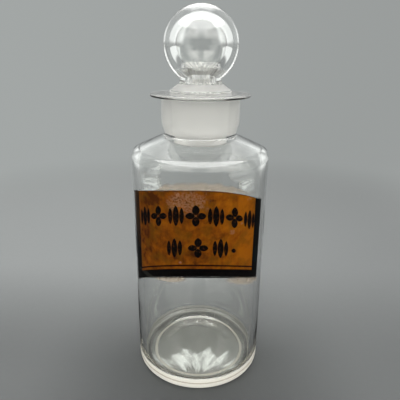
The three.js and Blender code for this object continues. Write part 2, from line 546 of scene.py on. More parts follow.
@dataclass(frozen=True)
class WornFoot(Finish):
    """The underside, clear in the middle and worn dull where it has slid over shelves, with a worn band
    round the heel that is painted brighter in front as a highlight.

    Attributes:
        ring: The radius where it is rubbed, in millimetres.
        wall: The radius of the outside wall.
        bevel: The width over which the underside gives way to the heel.
        band: The height of the worn band round the heel.
        line: The height of the brown line in it.
        edges: How far from ring, band and line their wear ends and is full.
        ragged: How uneven the band and its line are.
        front: Where the band's painted highlight grows and is full, from -1 in front to 1 behind.
        clear: The colour of the clear glass.
        worn: The colour of the worn glass.
        stain: The colour of the line.
        haze: How dull the rest of the underside is.
        rub: How dull the standing ring is.
        scuff_and_glow: How dull and bright the band round the heel is, as wear and painted highlight.
        lit_share_behind: How strong the band is behind, as a share of its painted highlight in front.
    """

    ring: float = 30.6
    wall: float = 41.0
    bevel: float = 2.0
    band: float = 9.0
    line: float = 4.9
    edges: tuple[Span, Span, Span] = ((1.3, 0.6), (0.0, 1.4), (0.7, 0.2))
    ragged: float = 1.2
    front: Span = (0.1, -0.3)
    clear: Colour = (0.985, 0.99, 0.98)
    worn: Colour = (0.98, 0.95, 0.84)
    stain: Colour = (0.42, 0.33, 0.22)
    haze: float = 0.16
    rub: float = 0.75
    scuff_and_glow: float = 0.9
    lit_share_behind: float = 0.4

    def shader(self, graph: Graph) -> Value:
        """Adds the worn glass to a graph.

        Args:
            graph: The graph.

        Returns:
            The shader.
        """
        def about(distance: Value | float, edge: Span) -> Value:
            """1 near a distance of 0, by where the wear ends and is full."""
            return abs(distance).step(edge[0] * MM, edge[1] * MM)

        ring_edge, band_edge, line_edge = self.edges
        place = graph.place()
        x, y, z = graph.split(place)
        reach = graph.reach(x, y)
        scratches = graph.noise(place, self.ragged * MM, 4.0, 0.7)
        height = z + scratches.swing(self.ragged * MM)
        heel = reach.step((self.wall - self.bevel) * MM, self.wall * MM)
        band = height.step((self.band - band_edge[0]) * MM, (self.band - band_edge[1]) * MM)
        # Painted highlight: the heel band is brighter in front than behind
        facing = (y / reach).step(*self.front) * (1 - self.lit_share_behind) + self.lit_share_behind
        rubbed = about(reach - self.ring * MM, ring_edge) * (self.rub - self.haze)
        dull = self.haze + rubbed + scratches.swing(0.3)
        dull = dull * (1 - heel) + heel * band * facing * self.scuff_and_glow
        stained = about(height - self.line * MM, line_edge) * 0.7
        clear = graph.principled({
            "Base Color": self.clear,
            "Roughness": 0.03,
            "IOR": GLASS_INDEX,
            "Transmission Weight": 1.0,
            "Normal": graph.bump(graph.noise(place, 5.0 * MM, 2.0, 0.5), 0.1),
        })
        ground = graph.principled({
            "Base Color": graph.mix(stained, self.worn, self.stain),
            "Roughness": 0.6,
            "IOR": GLASS_INDEX,
        })
        return graph.cover(dull, clear, ground)


@dataclass(frozen=True)
class GoldLeaf(Finish):
    """Gold leaf seen through its glass, browned by age, with painted light that brightens it towards the
    right and in patches there.

    Attributes:
        radius: The radius of the wall that it follows, in millimetres.
        dark: The deepest brown.
        amber: The colour of most of it.
        bright: The brightest tone, reached in the painted light and in fine specks.
        pale: Where it has come away from the glass.
        olive: Where age has turned it greenish.
        scorched: The patches that have gone brown.
        lifted: The patches that have come away.
        painted_shine: Patches of painted highlight on the right, where the leaf is painted brighter.
    """

    radius: float
    dark: Colour = (0.11, 0.028, 0.001)
    amber: Colour = (0.31, 0.085, 0.001)
    bright: Colour = (0.52, 0.165, 0.002)
    pale: Colour = (0.5, 0.26, 0.14)
    olive: Colour = (0.24, 0.095, 0.003)
    scorched: tuple[Patch, ...] = (
        Patch(-30.0, 125.6, 13.0, 7.5, 0.85, 0.7),
        Patch(6.8, 127.0, 5.0, 4.0, 0.5),
        Patch(8.0, 131.0, 76.0, 6.0, 0.22, 1.8),
        Patch(3.0, 109.0, 24.0, 9.0, 0.3, 1.8),
        Patch(-34.0, 104.0, 12.0, 26.0, 0.25, 2.0),
        Patch(-2.0, 95.0, 30.0, 8.0, 0.4, 2.0),
    )
    lifted: tuple[Patch, ...] = (
        Patch(-7.0, 127.2, 21.0, 13.0, 0.75, 1.8),
        Patch(-12.1, 131.4, 2.2, 1.4, 0.9),
        Patch(-11.0, 90.6, 1.6, 1.6, 0.9, 0.6),
        Patch(26.0, 112.5, 1.8, 1.4, 0.7, 0.6),
        Patch(31.2, 126.2, 4.0, 1.6, 0.6),
        Patch(19.5, 108.4, 3.5, 3.0, 0.6, 2.0),
    )
    painted_shine: tuple[Patch, ...] = (
        Patch(28.7, 122.0, 11.0, 22.0, 0.6, 1.6),
        Patch(23.0, 112.0, 26.0, 7.0, 0.4, 1.6),
        Patch(32.0, 97.0, 15.0, 22.0, 0.8, 1.6),
    )

    def shader(self, graph: Graph) -> Value:
        """Adds the leaf to a graph, laid out on the label's unrolled face.

        Args:
            graph: The graph.

        Returns:
            The shader.
        """
        face = graph.unrolled(self.radius)
        # Painted light: the leaf is painted brighter from left to right
        painted_light_trend = graph.split(face)[0].step(-42.0, 44.0)
        clouds = graph.noise(face, 22.0, 3.0, 0.55)
        blots = graph.noise(face, 5.0, 4.0, 0.6)
        streaks = graph.noise(graph.vector("MULTIPLY", face, (1.0, 0.12, 1.0)), 1.6, 3.0, 0.6)
        drift = graph.noise(face, 8.0, 2.0, 0.5).step(0.48, 0.66)
        crackle = graph.noise(face, 1.1, 3.0, 0.6).step(0.36, 0.6)
        fine = graph.noise(face, 0.8, 4.0, 0.7)
        tone = painted_light_trend * 0.32 + clouds * 0.65 + blots.swing(1.5) + streaks.swing(0.45) + 0.11
        # Painted highlights in patches on the right
        tone = tone + graph.patches(face, self.painted_shine, blots) * 0.35
        tone = tone - graph.patches(face, self.scorched, blots) * 0.5
        colour = graph.ramp(tone, [(0.1, self.dark), (0.5, self.amber), (0.95, self.bright)])
        colour = graph.layered(colour, [
            (drift * 0.55, self.olive),
            (graph.patches(face, self.lifted, blots) * crackle, self.pale),
            (fine.step(0.55, 0.8) * 0.3, self.bright),
            (fine.step(0.42, 0.3) * 0.6, self.dark),
        ])
        return graph.principled({
            "Base Color": colour,
            "Roughness": blots * 0.25 + 0.28,
            "Metallic": 0.2,
            "Specular IOR Level": 0.1,
            "Normal": graph.bump(blots + fine * 0.3, 0.06),
        })


@dataclass(frozen=True)
class BlackJapan(Finish):
    """Black japan varnish, painted behind the glass.

    Attributes:
        radius: The radius of the wall that it follows, in millimetres.
        colour: The varnish where it is thick.
        thin: The varnish where the brush left it thin.
        stroke: The size of a thin place, in millimetres.
        tinges: Places where age gives it a colour, each a patch and its colour.
    """

    radius: float
    colour: Colour = (0.0018, 0.0012, 0.001)
    thin: Colour = (0.006, 0.0035, 0.002)
    stroke: float = 3.0
    tinges: tuple[tuple[Patch, Colour], ...] = (
        (Patch(-46.0, 118.0, 9.0, 50.0, 0.9, 1.6), (0.05, 0.024, 0.009)),
        (Patch(41.0, 88.0, 6.0, 12.0, 0.7, 1.6), (0.002, 0.013, 0.016)),
        (Patch(-36.0, 75.5, 22.0, 3.0, 0.5, 2.0), (0.05, 0.05, 0.04)),
    )

    def shader(self, graph: Graph) -> Value:
        """Adds the varnish to a graph.

        Args:
            graph: The graph.

        Returns:
            The shader.
        """
        face = graph.unrolled(self.radius)
        brush = graph.noise(face, self.stroke, 3.0, 0.6)
        aged = [(graph.patches(face, [patch], brush), tinge) for patch, tinge in self.tinges]
        return graph.principled({
            "Base Color": graph.layered(self.colour, [(brush.step(0.5, 0.8), self.thin), *aged]),
            "Roughness": brush * 0.3 + 0.25,
            "Specular IOR Level": 0.05,
            "Normal": graph.bump(brush, 0.01),
        })


@dataclass(frozen=True)
class Putty(Finish):
    """The dull bed that holds the label, with the stains of its oil."""

    colour: Colour = (0.42, 0.33, 0.2)
    stain: Colour = (0.3, 0.21, 0.1)

    def shader(self, graph: Graph) -> Value:
        """Adds the putty to a graph.

        Args:
            graph: The graph.

        Returns:
            The shader.
        """
        place = graph.place()
        stains = graph.noise(place, 15.0 * MM, 3.0, 0.5)
        return graph.principled({
            "Base Color": graph.mix(stains, self.colour, self.stain),
            "Roughness": 0.9,
            "Normal": graph.bump(graph.noise(place, 2.0 * MM, 4.0, 0.6), 0.1),
        })


@dataclass(frozen=True)
class Corner:
    """A corner of a turned outline.

    Attributes:
        radius: Distance from the axis, in millimetres.
        height: Height, in millimetres.
        fillet: The radius that rounds the corner.
        finish: The number of the finish on the stretch that starts here.
    """

    radius: float
    height: float
    fillet: float = 0.0
    finish: int = 0


@dataclass
class Outline:
    """A run of corners that is turned round the axis.

    Attributes:
        corners: The corners, from the axis round to the axis.
        arc_step: The widest step of a fillet, in degrees.
        longest: The longest step of a straight stretch, in millimetres.
    """

    corners: list[Corner]
    arc_step: float = 7.0
    longest: float = 3.0

    def points(self) -> list[tuple[float, float, int]]:
        """Works out the points of the outline.

        Returns:
            Radius, height and finish of each point.
        """
        rough = [point for index in range(len(self.corners)) for point in self._corner(index)]
        fine = [rough[0]]
        for start, end in zip(rough, rough[1:]):
            steps = max(1, math.ceil(math.dist(start[:2], end[:2]) / self.longest))
            for step in range(1, steps + 1):
                share = step / steps
                radius, height = (a + (b - a) * share for a, b in zip(start[:2], end[:2]))
                fine.append((radius, height, end[2] if step == steps else start[2]))
        return fine

    def _corner(self, index: int) -> list[tuple[float, float, int]]:
        """Rounds one corner.

        Args:
            index: The corner's number.

        Returns:
            The points that stand for it, as an arc where it has a fillet.
        """
        at = self.corners[index]
        if at.fillet == 0 or index in (0, len(self.corners) - 1):
            return [(at.radius, at.height, at.finish)]
        before, after = self.corners[index - 1], self.corners[index + 1]
        tip = Vector((at.radius, at.height))
        back = Vector((before.radius, before.height)) - tip
        ahead = Vector((after.radius, after.height)) - tip
        half = back.angle(ahead) / 2
        room = min(
            back.length * (0.5 if before.fillet else 1),
            ahead.length * (0.5 if after.fillet else 1),
        )
        setback = min(at.fillet / math.tan(half), room)
        fillet = setback * math.tan(half)
        middle = (back.normalized() + ahead.normalized()).normalized()
        centre = tip + middle * fillet / math.sin(half)
        start = tip + back.normalized() * setback - centre
        end = tip + ahead.normalized() * setback - centre
        sweep = start.angle_signed(end)
        steps = max(1, math.ceil(abs(math.degrees(sweep)) / self.arc_step))
        points = []
        for step in range(steps + 1):
            turn = -sweep * step / steps
            x = start.x * math.cos(turn) - start.y * math.sin(turn)
            y = start.x * math.sin(turn) + start.y * math.cos(turn)
            points.append((centre.x + x, centre.y + y, at.finish))
        return points


def arc_corners(height: float, radius: float, start: float, end: float) -> list[Corner]:
    """Corners along a circle of the outline's plane.

    Args:
        height: Height of the circle's centre.
        radius: Radius of the circle.
        start: First angle, in degrees from straight up.
        end: Last angle.

    Returns:
        The corners, from start to end.
    """
    steps = math.ceil(abs(end - start) / ARC_STEP)
    angles = [math.radians(start + (end - start) * i / steps) for i in range(steps + 1)]
    return [Corner(max(0.0, radius * math.sin(a)), height + radius * math.cos(a)) for a in angles]


def opened(radius: float, opening: float) -> float:
    """The angle, in degrees from straight up, where a circle meets an opening's radius below."""
    return 180 - math.degrees(math.asin(opening / radius))


def on_wall(radius: float, angle: float, height: float) -> Vector:
    """A point on an upright cylinder, by its angle in radians from the front towards +X."""
    return Vector((radius * math.sin(angle), -radius * math.cos(angle), height))


def in_scene(name: str, data: bpy.types.ID) -> bpy.types.Object:
    """Makes an object of the scene.

    Args:
        name: Its name.
        data: The mesh, lamp or camera that it shows.

    Returns:
        The object.
    """
    shown = bpy.data.objects.new(name, data)
    bpy.context.scene.collection.objects.link(shown)
    return shown


def smooth(mesh: bpy.types.Mesh) -> None:
    """Shades a mesh smoothly up to its sharp edges."""
    mesh.shade_smooth()
    mesh.set_sharp_from_angle(angle=SHARP_FROM)


def new_piece(
    name: str,
    vertices: Sequence[Vector | Colour],
    faces: Sequence[tuple[int, ...]],
    finishes: Sequence[int] = (),
) -> bpy.types.Object:
    """Makes a smooth piece.

    Args:
        name: The piece's name.
        vertices: Its vertices, in metres.
        faces: Its faces, by the numbers of their vertices.
        finishes: The number of each face's finish, where it has more than one.

    Returns:
        The piece.
    """
    mesh = bpy.data.meshes.new(name)
    mesh.from_pydata(vertices, [], faces)
    if finishes:
        mesh.polygons.foreach_set("material_index", finishes)
    mesh.validate()
    smooth(mesh)
    return in_scene(name, mesh)


def turned(
    name: str,
    outline: Outline,
    segments: int,
    waver: Callable[[Vector], Vector] | None = None,
) -> bpy.types.Object:
    """Turns an outline round the axis into a closed piece.

    Args:
        name: The piece's name.
        outline: The outline, which starts and ends on the axis.
        segments: The number of steps round the axis.
        waver: Moves a point a little, in millimetres, as hand work does.

    Returns:
        The piece, with a material number on each face for the outline's finishes.
    """
    vertices: list[Vector] = []
    rings: list[list[int]] = []
    points = outline.points()
    for radius, height, _ in points:
        count = 1 if radius < ON_AXIS else segments
        rings.append(list(range(len(vertices), len(vertices) + count)))
        for step in range(count):
            at = on_wall(radius, math.tau * step / segments, height)
            vertices.append((waver(at) if waver else at) * MM)
    faces: list[tuple[int, ...]] = []
    finishes: list[int] = []
    for (_, _, number), lower, upper in zip(points, rings, rings[1:]):
        for step in range(segments):
            ahead = (step + 1) % segments
            corners = [lower[step % len(lower)], lower[ahead % len(lower)]]
            corners += [upper[ahead % len(upper)], upper[step % len(upper)]]
            faces.append(tuple(dict.fromkeys(corners)))
            finishes.append(number)
    return new_piece(name, vertices, faces, finishes)


def loft(name: str, runs: Sequence[Sequence[Sequence[Vector]]]) -> bpy.types.Object:
    """Joins runs of sections of equal size, each in order and closed at its ends.

    Args:
        name: The piece's name.
        runs: Lists of rings of points, in millimetres.

    Returns:
        The piece, with one closed body for each run.
    """
    vertices: list[Vector] = []
    faces: list[tuple[int, ...]] = []
    for sections in runs:
        size = len(sections[0])
        first = len(vertices)
        vertices += [point * MM for section in sections for point in section]
        last = len(vertices) - size
        for start in range(first, last, size):
            for step in range(size):
                after = (step + 1) % size
                faces.append((start + step, start + size + step, start + size + after, start + after))
        faces.append(tuple(range(first, first + size)))
        faces.append(tuple(reversed(range(last, last + size))))
    return new_piece(name, vertices, faces)


def cut(piece: bpy.types.Object, tool: bpy.types.Object) -> None:
    """Cuts a tool's shape out of a piece and removes the tool.

    Args:
        piece: The piece.
        tool: The tool.
    """
    modifier = piece.modifiers.new("cut", "BOOLEAN")
    modifier.operation = "DIFFERENCE"
    modifier.solver = "EXACT"
    modifier.object = tool
    bpy.context.view_layer.update()
    shaped = piece.evaluated_get(bpy.context.evaluated_depsgraph_get())
    mesh = bpy.data.meshes.new_from_object(shaped)
    piece.modifiers.clear()
    piece.data = mesh
    smooth(mesh)
    bpy.data.objects.remove(tool)


def finish(piece: bpy.types.Object, finishes: Iterable[Finish]) -> None:
    """Gives a piece its finishes, in the order of its faces' numbers."""
    for each in finishes:
        piece.data.materials.append(each.material())


def dress(
    piece: bpy.types.Object,
    body: Body,
    finishes: Iterable[Finish],
    replaces: str | None = None,
) -> None:
    """Gives a piece its finishes and its place in the frame.

    Args:
        piece: The piece.
        body: The body that it rides on.
        finishes: Its finishes, in the order of its faces' numbers.
        replaces: The node that it stands for.
    """
    finish(piece, finishes)
    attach(piece, body.value)
    if replaces is not None:
        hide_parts(replaces)
    LOG.info("%s rides on %s with %d faces", piece.name, body.value, len(piece.data.polygons))


class VesselFace(IntEnum):
    """The finishes of the vessel's faces, by their numbers."""

    # The lip's rim finish carries a painted shade line along its lower edge
    CLEAR, GROUND, WORN, GRIMED, HAZED = range(5)


@dataclass
class BlownBody:
    """The vessel: base, wall, shoulder, neck and lip, blown in one piece."""

    radius: float = 42.0
    wall: float = 4.0
    height: float = 148.0
    heel: float = 2.4
    wear_reach: float = 7.6
    ring_inner: float = 33.0
    ring_round: float = 3.0
    kick_radius: float = 17.0
    kick_round: float = 20.0
    kick_depth: float = 3.4
    floor: float = 5.0
    floor_corner: float = 3.4
    shoulder_rise: float = 9.2
    shoulder_corner: float = 5.6
    shoulder_inner: float = 4.5
    neck_root: float = 21.4
    root_round: float = 1.6
    root_inner: float = 1.5
    neck_radius: float = 23.45
    neck_swell: float = 7.0
    swell_round: float = 9.0
    neck_height: float = 20.9
    under_lip: float = 0.6
    lip_radius: float = 29.6
    lip_thickness: float = 2.7
    lip_cone: float = 1.2
    lip_lower: float = 0.9
    lip_upper: float = 1.3
    mouth_round: float = 0.5
    shank_radius: float = 17.5
    taper: float = 0.05
    clearance: float = 0.3
    ground_depth: float = 24.0
    wave_size: float = 22.0
    wave_depth: float = 0.35
    wave_place: Colour = (3.1, 2.17, -3.1)
    segments: int = 192

    @property
    def root_height(self) -> float:
        """Height where the neck springs from the shoulder."""
        return self.height + self.shoulder_rise

    @property
    def lip_level(self) -> float:
        """Height of the lip's lower edge."""
        return self.root_height + self.neck_height + self.lip_cone

    @property
    def lip_top(self) -> float:
        """Height of the mouth."""
        return self.root_height + self.neck_height + self.lip_thickness + self.lip_cone

    @property
    def mouth(self) -> float:
        """Radius of the mouth."""
        return self.shank_radius + self.clearance

    def _outside(self) -> list[Corner]:
        """Lays out the outside.

        Returns:
            The corners from the middle of the kick to the mouth.
        """
        face = VesselFace
        return [
            Corner(0, self.kick_depth, finish=face.WORN),
            Corner(self.kick_radius, self.kick_depth, self.kick_round, face.WORN),
            Corner(self.ring_inner, 0, self.ring_round, face.WORN),
            Corner(self.radius, 0, self.heel, face.WORN),
            Corner(self.radius, self.heel + self.wear_reach),
            Corner(self.radius, self.height, self.shoulder_corner),
            Corner(self.neck_root, self.root_height, self.root_round),
            Corner(self.neck_radius, self.root_height + self.neck_swell, self.swell_round),
            Corner(self.neck_radius, self.root_height + self.neck_height, self.under_lip),
            Corner(self.lip_radius, self.lip_level, self.lip_lower, face.GRIMED),
            Corner(self.lip_radius, self.lip_top - self.lip_cone, self.lip_upper, face.HAZED),
            Corner(self.mouth, self.lip_top, self.mouth_round, face.GROUND),
        ]

    def _inside(self) -> list[Corner]:
        """Lays out the inside.

        Returns:
            The corners from the ground bore to the middle of the floor.
        """
        inner = self.radius - self.wall
        slope = self.shoulder_rise / (self.radius - self.neck_root)
        drop = self.wall * math.hypot(1, slope)

        def shoulder(radius: float) -> float:
            """Height of the shoulder's inside at a radius."""
            return self.height - drop + slope * (self.radius - radius)

        foot = self.mouth - self.taper * (self.lip_top - shoulder(self.mouth))
        return [
            Corner(self.mouth - self.taper * self.ground_depth, self.lip_top - self.ground_depth),
            Corner(foot, shoulder(foot), self.root_inner),
            Corner(inner, shoulder(inner), self.shoulder_inner),
            Corner(inner, self.floor, self.floor_corner),
            Corner(0, self.floor + self.kick_depth / 2),
        ]

    def _lip_shade(self) -> tuple[Patch, ...]:
        """Says where painted shade lies along the lower edge of the lip.

        Returns:
            The patches of painted shade on the lip's unrolled rim.
        """
        return (
            Patch(-31.0, self.lip_level + 0.3, 29.0, 1.5, 0.95, 0.7),
            Patch(21.5, self.lip_level + 0.2, 16.0, 1.4, 1.0, 0.7),
            Patch(0.0, self.lip_level, 300.0, 0.8, 0.25, 1.4),
        )

    def _waver(self, at: Vector) -> Vector:
        """Dents the free-blown inside; a mould held the outside.

        Args:
            at: A point, in millimetres.

        Returns:
            The point, moved towards the axis by the waves there.
        """
        outward = Vector((at.x, at.y, 0.0))
        inside = ON_AXIS < outward.length < self.radius - self.wall / 2
        if not (inside and self.floor - 1 < at.z < self.height):
            return at
        wave = noise.noise(at / self.wave_size + Vector(self.wave_place))
        return at + outward.normalized() * (wave * 0.5 - 0.5) * self.wave_depth

    def build(self, label: "Label") -> None:
        """Builds the vessel with the recess for its label.

        Args:
            label: The label, which gives the recess and the stains round it.
        """
        outline = Outline(self._outside() + self._inside())
        piece = turned("blown_body", outline, self.segments, self._waver)
        finish(piece, [
            PuttyAndGlintGlass("body_glass", radius=self.radius, residue=label.residue, painted_glints=label.painted_glints),
            GroundGlass("ground_neck"),
            WornFoot("worn_foot"),
            # The lip's rim gets a painted shade line along its lower edge
            LipShadeGlass("shaded_lip", radius=self.lip_radius, shade_line=self._lip_shade()),
            GroundGlass("hazed_lip", clear=0.86, roughness=0.2),
        ])
        cut(piece, label.recess_tool())
        dress(piece, Body.VESSEL, [], "bottle_body")


class StopperFace(IntEnum):
    """The finishes of the stopper's faces, by their numbers."""

    CLEAR, GROUND, HAZED, TOOLED = range(4)


@dataclass
class BallStopper:
    """The hollow ball with its waist, collar and ground shank."""

    vessel: BlownBody
    ball_radius: float = 21.5
    ball_rise: float = 25.2
    bubble_radius: float = 14.2
    tooled_corners: int = 5
    collar_height: float = 0.9
    collar_radius: float = 17.6
    collar_round: float = 0.5
    waist_radius: float = 12.2
    waist_rise: float = 4.9
    waist_round: float = 2.4
    breather: float = 6.0
    throat_round: float = 5.0
    shank_length: float = 32.0
    foot_round: float = 1.4
    bore_radius: float = 10.8
    bore_depth: float = 27.0
    longest: float = 2.0
    segments: int = 144

    def _outline(self) -> Outline:
        """Lays out the stopper.

        Returns:
            The outline from the bubble's top, down inside and up outside to the ball's top.
        """
        face = StopperFace
        mouth = self.vessel.lip_top
        foot = mouth - self.shank_length
        foot_radius = self.vessel.shank_radius - self.vessel.taper * self.shank_length
        waist = mouth + self.waist_rise
        centre = mouth + self.ball_rise
        bubble = arc_corners(centre, self.bubble_radius, 0, opened(self.bubble_radius, self.breather))
        ball = arc_corners(centre, self.ball_radius, opened(self.ball_radius, self.waist_radius), 0)
        throat = [replace(corner, finish=face.TOOLED) for corner in bubble[-self.tooled_corners:]]
        return Outline([
            *bubble[:-self.tooled_corners],
            *throat,
            Corner(self.breather, waist, self.throat_round, face.TOOLED),
            Corner(self.bore_radius, foot + self.bore_depth, self.throat_round),
            Corner(self.bore_radius, foot, self.foot_round),
            Corner(foot_radius, foot, self.foot_round, face.GROUND),
            Corner(self.vessel.shank_radius, mouth),
            Corner(self.collar_radius, mouth + self.collar_height, self.collar_round, face.HAZED),
            Corner(self.waist_radius, waist, self.waist_round),
            *ball,
        ], longest=self.longest)

    def build(self) -> None:
        """Builds the stopper."""
        finishes = [
            ClearGlass("stopper_glass"),
            GroundGlass("ground_shank"),
            GroundGlass("hazed_flare", clear=0.7, roughness=0.35),
            TooledGlintGlass("glinting_breather"),
        ]
        piece = turned("ball_stopper", self._outline(), self.segments)
        dress(piece, Body.STOPPER, finishes, "stopper")


@dataclass(frozen=True)
class Inset:
    """How far a layer's edges lie inside the label's outline, in millimetres."""

    left: float = 0.0
    right: float = 0.0
    top: float = 0.0
    bottom: float = 0.0

    @classmethod
    def even(cls, distance: float) -> "Inset":
        """The same distance on each side."""
        return cls(distance, distance, distance, distance)


@dataclass(frozen=True)
class Stroke:
    """One leaf-shaped stroke of the brush, in millimetres from its figure's middle.

    Attributes:
        along: Place of its middle along the row.
        level: Place of its middle across the row.
        length: Its length.
        width: Its greatest width.
        tilt: How far it leans from upright towards +X, in degrees.
        blunt: How blunt its ends are, where less is blunter.
        tip: Half the width of its ends.
    """

    along: float
    level: float
    length: float
    width: float
    tilt: float = 0.0
    blunt: float = 0.7
    tip: float = 0.02

    def place(self, share: float, side: float) -> Point:
        """A place on the stroke.

        Args:
            share: How far it is from the middle to the upper end, from -1 to 1.
            side: How far it is from the middle to the side there, from -1 to 1.

        Returns:
            Its place along and across the row.
        """
        half = self.width / 2 * max(0.0, 1 - share * share) ** self.blunt + self.tip
        across, up = half * side, share * self.length / 2
        sine, cosine = math.sin(math.radians(self.tilt)), math.cos(math.radians(self.tilt))
        return self.along + across * cosine + up * sine, self.level - across * sine + up * cosine


class Figure(Enum):
    """The painted figures, each a few strokes."""

    FLOWER = (
        Stroke(0.0, 3.3, 5.8, 4.2),
        Stroke(0.0, -3.3, 5.8, 4.2),
        Stroke(-3.2, 0.0, 5.4, 3.8, 90.0),
        Stroke(3.2, 0.0, 5.4, 3.8, 90.0),
    )
    SPINDLES = (
        Stroke(-3.4, 0.0, 9.6, 2.7),
        Stroke(0.0, 0.0, 12.2, 3.7),
        Stroke(3.4, 0.0, 9.6, 2.7),
    )
    DOT = (Stroke(0.0, 0.0, 2.8, 3.0),)


class Layer(Enum):
    """What lies in the recess, from the face of the wall inwards."""

    COVER = "cover"
    FOIL = "foil"
    BACKING = "backing"
    CEMENT = "cement"


@dataclass
class Label:
    """The label's layers and their arched outline on the wall.

    Angles are degrees from the front towards +X. The drops say how far the arched edges
    fall from the middle to each end.
    """

    vessel: BlownBody
    left: float = -68.5
    right: float = 58.7
    top: float = 134.0
    top_drops: Point = (8.8, 11.3)
    bottom: float = 82.3
    bottom_drops: Point = (16.8, 11.4)
    cover: float = 1.1
    foil: float = 0.15
    backing: float = 0.15
    cement: float = 0.3
    gap: float = 0.1
    wet: float = 0.03
    recess_clearance: float = 0.4
    margin: float = 1.0
    border: Inset = Inset(7.8, 6.1, 0.3, 5.2)
    rule_level: float = 7.3
    rule_width: float = 0.95
    upper_row: float = 119.7
    upper_figures: int = 7
    upper_from: float = -49.3
    upper_to: float = 43.8
    lower_row: float = 100.5
    lower_angles: tuple[float, ...] = (-19.8, -0.9, 17.0)
    dot_angle: float = 28.5
    dot_level: float = 99.5
    steps: int = 120
    layer_rows: int = 4
    stroke_steps: int = 16
    stroke_columns: int = 8
    residue: tuple[Patch, ...] = (
        Patch(-8.0, 135.2, 74.0, 5.6, 0.34, 1.5),
        Patch(-18.0, 80.6, 20.0, 4.0, 0.45, 0.9),
        Patch(31.0, 79.8, 26.0, 6.4, 0.4, 0.9),
    )
    # Pale streaks of painted highlight on the wall above the label's upper corners
    painted_glints: tuple[Patch, ...] = (
        Patch(-29.0, 143.0, 14.0, 12.0, 0.3, 2.4),
        Patch(-30.0, 139.5, 14.0, 8.0, 0.35, 1.6),
        Patch(26.0, 144.0, 16.0, 12.0, 0.25, 2.4),
        Patch(29.0, 138.5, 11.0, 6.0, 0.35, 1.6),
    )

    def layer(self, wanted: Layer) -> Point:
        """Counts the layers from the wall inwards.

        Args:
            wanted: The layer.

        Returns:
            Its inner and outer radius.
        """
        outer = self.vessel.radius
        for each in Layer:
            inner = outer - getattr(self, each.value)
            if each is wanted:
                break
            outer = inner - self.gap
        return inner, outer

    def _arch(self, angle: float, apex: float, drops: Point) -> float:
        """Follows an arched edge.

        Args:
            angle: The angle.
            apex: The edge's height in front.
            drops: How far it falls to its left and its right end.

        Returns:
            Its height at the angle.
        """
        end, drop = (self.left, drops[0]) if angle < 0 else (self.right, drops[1])
        flat = 1 - math.cos(math.radians(end))
        return apex - drop * (1 - math.cos(math.radians(angle))) / flat

    def height(self, angle: float, level: float) -> float:
        """Follows a row that arches as the label does.

        Args:
            angle: The angle.
            level: The row's height in front.

        Returns:
            Its height at the angle.
        """
        low = self._arch(angle, self.bottom, self.bottom_drops)
        high = self._arch(angle, self.top, self.top_drops)
        return low + (high - low) * (level - self.bottom) / (self.top - self.bottom)

    def _turn(self, distance: float) -> float:
        """The angle that a distance along the wall takes."""
        return math.degrees(distance / self.vessel.radius)

    def plate(
        self,
        name: str,
        radii: Point,
        inset: Inset = Inset(),
        rows: int = 1,
        edges: tuple[Point, Point] | None = None,
    ) -> bpy.types.Object:
        """A curved plate between two radii that follows the label's arches.

        Args:
            name: The piece's name.
            radii: Inner and outer radius.
            inset: How far its edges lie inside the label's outline.
            rows: Steps between its lower and upper edge.
            edges: The level of each edge and its rise from there, where they aren't the outline's.

        Returns:
            The plate.
        """
        edges = edges or ((self.bottom, inset.bottom), (self.top, -inset.top))
        left = self.left + self._turn(inset.left)
        right = self.right - self._turn(inset.right)
        sections: list[list[Vector]] = []
        for step in range(self.steps + 1):
            angle = left + (right - left) * step / self.steps
            low, high = (self.height(angle, level) + rise for level, rise in edges)
            heights = [low + (high - low) * row / rows for row in range(rows + 1)]
            turn = math.radians(angle)
            ring = [on_wall(radii[0], turn, height) for height in reversed(heights)]
            sections.append(ring + [on_wall(radii[1], turn, height) for height in heights])
        return loft(name, [sections])

    def _stroke(self, stroke: Stroke, angle: float, level: float) -> list[list[Vector]]:
        """Lays one painted stroke of a figure on the back of the cover glass.

        Args:
            stroke: The stroke.
            angle: The angle of the figure's middle.
            level: The level of the figure's middle.

        Returns:
            The stroke's sections, from its foot to its tip.
        """
        glass, _ = self.layer(Layer.COVER)
        sections: list[list[Vector]] = []
        for step in range(self.stroke_steps + 1):
            front, back = [], []
            for column in range(self.stroke_columns + 1):
                x, y = stroke.place(2 * step / self.stroke_steps - 1, 2 * column / self.stroke_columns - 1)
                turn = angle + self._turn(x)
                height = self.height(turn, level) + y
                front.append(on_wall(glass + 3 * self.wet, math.radians(turn), height))
                back.append(on_wall(glass - self.wet, math.radians(turn), height))
            sections.append(list(reversed(back)) + front)
        return sections

    def painted_row(self, name: str, places: Sequence[tuple[Figure, float, float]]) -> bpy.types.Object:
        """Paints figures on the back of the cover glass.

        Args:
            name: The piece's name.
            places: Each figure with its angle and level.

        Returns:
            The row, as one piece.
        """
        return loft(name, [
            self._stroke(stroke, angle, level)
            for figure, angle, level in places
            for stroke in figure.value
        ])

    def recess_tool(self) -> bpy.types.Object:
        """What is cut from the wall to make the label's recess."""
        radii = (self.layer(Layer.CEMENT)[0] - self.gap, self.vessel.radius + self.vessel.wall)
        return self.plate("recess", radii, Inset.even(-self.recess_clearance))

